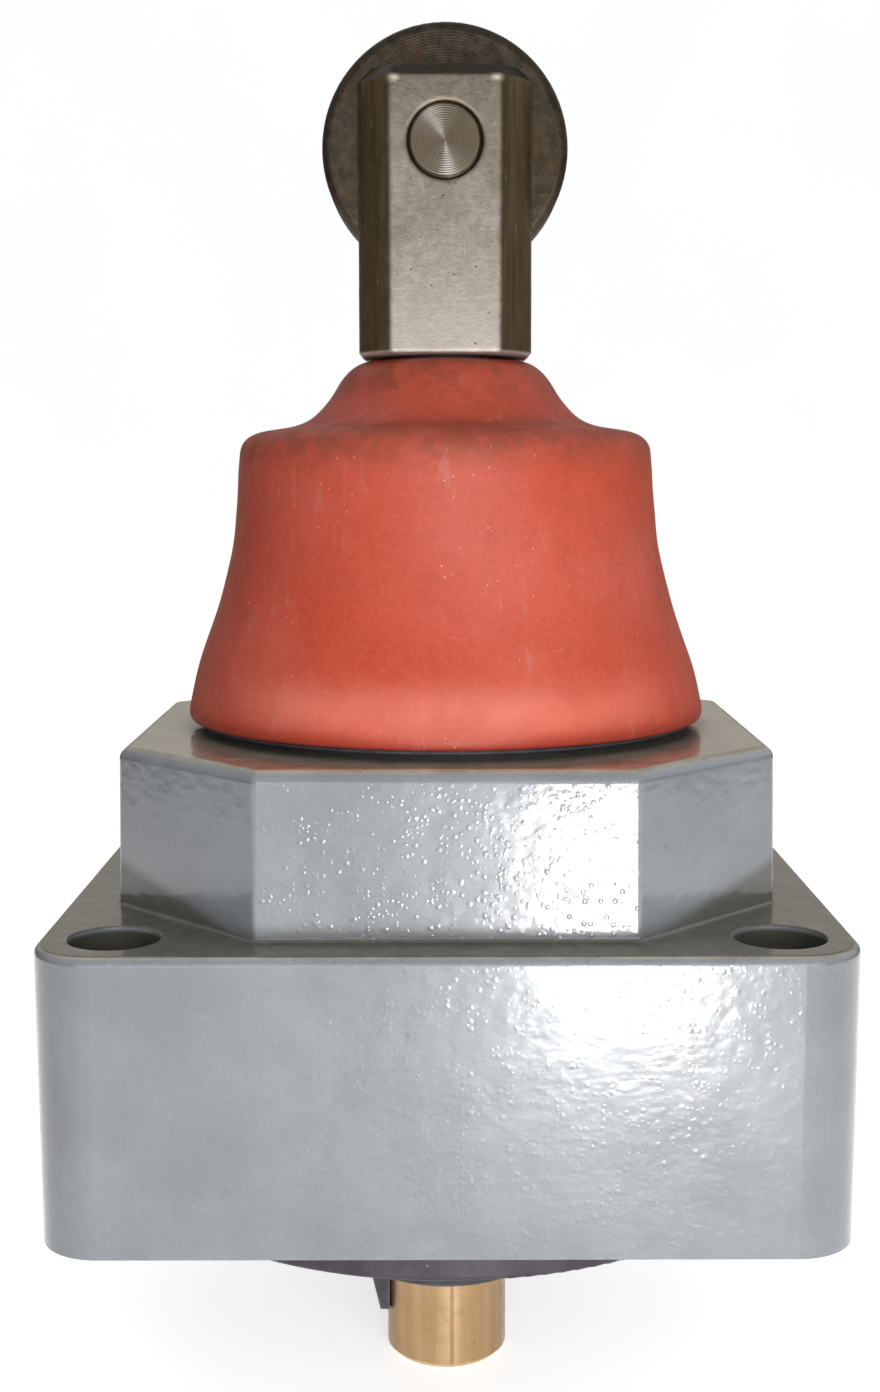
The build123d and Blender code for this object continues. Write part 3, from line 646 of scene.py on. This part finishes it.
def new_piece(name, points, faces, material):
    """A smooth mesh piece from points in millimetres, with each point's rest place kept for its material."""
    mesh = bpy.data.meshes.new(name)
    mesh.from_pydata([Vector(point) * MM for point in points], [], faces)
    mesh.validate()
    mesh.polygons.foreach_set("use_smooth", [True] * len(mesh.polygons))
    rest = mesh.attributes.new("rest_place", "FLOAT_VECTOR", "POINT")
    for value, vertex in zip(rest.data, mesh.vertices):
        value.vector = vertex.co
    mesh.materials.append(material)
    piece = bpy.data.objects.new(name, mesh)
    bpy.context.scene.collection.objects.link(piece)
    return piece


def rounded(corners, steps):
    """An outline through (r, z, rounding) corners, each one rounded off by that distance."""
    points = []
    last = len(corners) - 1
    for index, (r, z, rounding) in enumerate(corners):
        corner = Vector((r, z))
        if index in (0, last) or rounding == 0:
            points.append(corner)
            continue
        before = Vector(corners[index - 1][:2]) - corner
        after = Vector(corners[index + 1][:2]) - corner
        start = corner + before.normalized() * min(rounding, before.length * 0.49)
        end = corner + after.normalized() * min(rounding, after.length * 0.49)
        for step in range(steps + 1):
            share = step / steps
            points.append(start.lerp(corner, share).lerp(corner.lerp(end, share), share))
    return points


def curved(controls, steps):
    """Points on a smooth curve through (r, z) controls, both ends included."""
    points = []
    padded = [controls[0], *controls, controls[-1]]
    for index in range(1, len(padded) - 2):
        p0, p1, p2, p3 = (Vector(point) for point in padded[index - 1:index + 3])
        for step in range(steps):
            t = step / steps
            points.append(
                0.5 * ((2 * p1) + (p2 - p0) * t + (2 * p0 - 5 * p1 + 4 * p2 - p3) * t ** 2
                       + (3 * p1 - p0 - 3 * p2 + p3) * t ** 3)
            )
    points.append(Vector(controls[-1]))
    return points


def spun(name, outline, around, material, closed=True, wobble=None):
    """A surface of revolution about Z from an (r, z) outline, a solid where the outline is closed."""
    points = []
    faces = []
    count = len(outline)
    for turn in range(around):
        angle = 2 * math.pi * turn / around
        for r, z in outline:
            place = Vector((r * math.cos(angle), r * math.sin(angle), z))
            points.append(place + wobble(place) if wobble else place)
    for turn in range(around):
        here = turn * count
        there = ((turn + 1) % around) * count
        for index in range(count if closed else count - 1):
            following = (index + 1) % count
            faces.append((here + index, there + index, there + following, here + following))
    return new_piece(name, points, faces, material)


def boot_wobble(place):
    """The moulding's slight unevenness, none at the bead and the neck bore, where it grips."""
    bead_level = 25.5
    neck_level = 42.5
    fade = 2
    above_bead = min(1.0, max(0.0, (place.z - bead_level) / fade))
    below_neck = min(1.0, max(0.0, (neck_level - place.z) / fade))
    free = above_bead * below_neck
    outward = Vector((place.x, place.y, 0)) / math.hypot(place.x, place.y)
    broad = 0.07 * noise.noise(place * 0.16)
    fine = 0.02 * noise.noise(place * 0.5)
    return outward * free * (broad + fine)


# The boot's outline, in five stretches: up the outside, over the crown to the neck's bore, back down the
# inside, and round the bead that sits in the retainer.
foot_point = (14.46, 24.45)
shoulder_point = (11.58, 37.4)
inner_shoulder_point = (10.55, 35.0)
inner_foot_point = (12.98, 25.55)
neck_bore = 3.1
neck_seat = 42.0
outer_flank = curved(
    [foot_point, (13.92, 26.7), (12.78, 30.0), (12.0, 33.0), (11.72, 35.4), shoulder_point], steps=10
)
crown = rounded(
    [(*shoulder_point, 0), (11.37, 39.42, 1.4), (7.8, 39.97, 1.2), (6.5, 41.25, 0.8), (5.6, 42.75, 0.8),
     (4.6, BOOT_TOP, 0.6), (neck_bore, BOOT_TOP, 0)], steps=8
)
inside = rounded(
    [(neck_bore, BOOT_TOP, 0), (neck_bore, neck_seat, 0), (3.95, neck_seat, 0.2), (6.75, 39.2, 0.6),
     (9.7, 38.3, 0.8), (10.4, 37.6, 0.5), (*inner_shoulder_point, 0)], steps=5
)
inner_flank = curved(
    [inner_shoulder_point, (10.79, 33.0), (11.54, 30.0), (12.66, 27.0), inner_foot_point], steps=8
)
bead = rounded(
    [(*inner_foot_point, 0), (12.32, 25.3, 0.1), (12.02, 25.1, 0.1), (12.02, 23.87, 0.1),
     (13.98, 23.87, 0.1), (13.98, 23.72, 0.05), (14.42, 23.72, 0.2), (14.5, 24.1, 0.15), (*foot_point, 0)],
    steps=4
)
boot_outline = outer_flank + crown[1:] + inside[1:] + inner_flank[1:] + bead[1:-1]
boot_skin = spun("boot_skin", boot_outline, 192, looks["red_silicone"], wobble=boot_wobble)
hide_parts("boot")
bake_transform(boot_skin)


def coil(name, bottom, top, mean_radius, wire_radius, turns, dead_turns, material):
    """A compression spring with closed ends, between two levels."""
    around = 12
    per_turn = 40
    rows = round(turns * per_turn)
    rise = top - bottom - 2 * wire_radius
    dead_rise = dead_turns * 2 * wire_radius
    points = []
    faces = []
    for row in range(rows + 1):
        turned = row / per_turn
        left = turns - turned
        if turned < dead_turns:
            height = 2 * wire_radius * turned
        elif left < dead_turns:
            height = rise - 2 * wire_radius * left
        else:
            height = dead_rise + (rise - 2 * dead_rise) * (turned - dead_turns) / (turns - 2 * dead_turns)
        angle = 2 * math.pi * turned
        outward = Vector((math.cos(angle), math.sin(angle), 0))
        middle = outward * mean_radius + Vector((0, 0, bottom + wire_radius + height))
        for step in range(around):
            across = 2 * math.pi * step / around
            upward = Vector((0, 0, wire_radius * math.sin(across)))
            points.append(middle + outward * wire_radius * math.cos(across) + upward)
    for row in range(rows):
        for step in range(around):
            following = (step + 1) % around
            here = row * around
            faces.append((here + step, here + following, here + around + following, here + around + step))
    faces.append(tuple(range(around)))
    faces.append(tuple(reversed(range(rows * around, (rows + 1) * around))))
    return new_piece(name, points, faces, material)


coil_steel = plain_metal("coil_steel", (104, 102, 100), (150, 148, 144))
return_coil = coil(
    "return_coil", bottom=2.0, top=12.65, mean_radius=7.65, wire_radius=0.55,
    turns=5.5, dead_turns=0.8, material=coil_steel,
)
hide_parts("return_spring")
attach(return_coil, "housing")
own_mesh(return_coil)
overtravel_coil = coil(
    "overtravel_coil", bottom=17.0, top=27.0, mean_radius=1.8, wire_radius=0.3,
    turns=10, dead_turns=1.0, material=coil_steel,
)
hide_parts("overtravel_spring")
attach(overtravel_coil, "plunger")
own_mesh(overtravel_coil)


# ---------------------------------------------------------------- stage, light and camera

floor_level = cad_box[0][2] / MM
floor_edge = 260
floor_outline = [(0.01, floor_level), (60, floor_level), (floor_edge, floor_level)]
floor = spun("floor", floor_outline, 96, pale_floor(), closed=False)
floor.visible_diffuse = False
backdrop_outline = curved(
    [(floor_edge, floor_level), (380, floor_level + 4), (480, floor_level + 50),
     (540, floor_level + 150), (560, floor_level + 420)], steps=10
)
backdrop = spun("backdrop", backdrop_outline, 96, pale_backdrop(), closed=False)
backdrop.visible_diffuse = False
backdrop.visible_glossy = False
backdrop.visible_shadow = False


def soft_light(name, place, target, width, height, watts, colour=(1, 1, 1)):
    """A rectangular studio light, in millimetres, turned towards its target and not seen itself."""
    data = bpy.data.lights.new(name, "AREA")
    data.shape = "RECTANGLE"
    data.size = width * MM
    data.size_y = height * MM
    data.energy = watts
    data.color = colour
    lamp = bpy.data.objects.new(name, data)
    lamp.location = Vector(place) * MM
    lamp.rotation_euler = (Vector(target) - Vector(place)).to_track_quat("-Z", "Y").to_euler()
    lamp.visible_camera = False
    bpy.context.scene.collection.objects.link(lamp)
    return lamp


body_middle = (0, 0, 25)
soft_light("flash", (16.9, -100, -4.0), (8, -18, 16), 14, 28, 0.045)
front = soft_light("front", (85, -295, 110), body_middle, 300, 220, 0.62)
front.visible_glossy = False
soft_light("card", (10, -300, 42), (0, 0, 42), 420, 110, 0.26)
soft_light("left", (-260, 60, 160), body_middle, 200, 200, 0.004)
soft_light("right", (260, 90, 160), body_middle, 200, 200, 0.05)
soft_light("back", (-60, 180, 330), body_middle, 220, 220, 0.06)
soft_light("wall", (0, 420, 110), body_middle, 700, 180, 0.12, colour=(1.0, 0.92, 0.76))

# The room: dark below, pale above.
world = bpy.data.worlds.new("room")
bpy.context.scene.world = world
world.use_nodes = True
world_tree = world.node_tree
direction = world_tree.nodes.new("ShaderNodeTexCoord")
height = world_tree.nodes.new("ShaderNodeSeparateXYZ")
world_tree.links.new(direction.outputs["Generated"], height.inputs[0])
ramp = world_tree.nodes.new("ShaderNodeValToRGB")
world_tree.links.new(height.outputs[2], ramp.inputs[0])
ramp.color_ramp.elements[0].position = 0.0
ramp.color_ramp.elements[0].color = (0.055, 0.048, 0.04, 1)
ramp.color_ramp.elements[1].position = 0.6
ramp.color_ramp.elements[1].color = (0.42, 0.42, 0.43, 1)
background = world_tree.nodes["Background"]
world_tree.links.new(ramp.outputs[0], background.inputs[0])
background.inputs[1].default_value = 1.0

# The camera, as fitted to the photo's outline: lens, place and direction.
camera_data = bpy.data.cameras.new("camera")
camera_data.lens = 46.0
camera_data.sensor_width = 36
camera_data.clip_start = 0.005
camera_data.clip_end = 10
camera = bpy.data.objects.new("camera", camera_data)
camera.location = Vector((-0.352, -100.895, 37.471)) * MM
camera.rotation_euler = (math.radians(90 - 7.24), math.radians(0.108), math.radians(-0.03))
bpy.context.scene.collection.objects.link(camera)
bpy.context.scene.camera = camera
bpy.context.scene.view_settings.view_transform = "Standard"
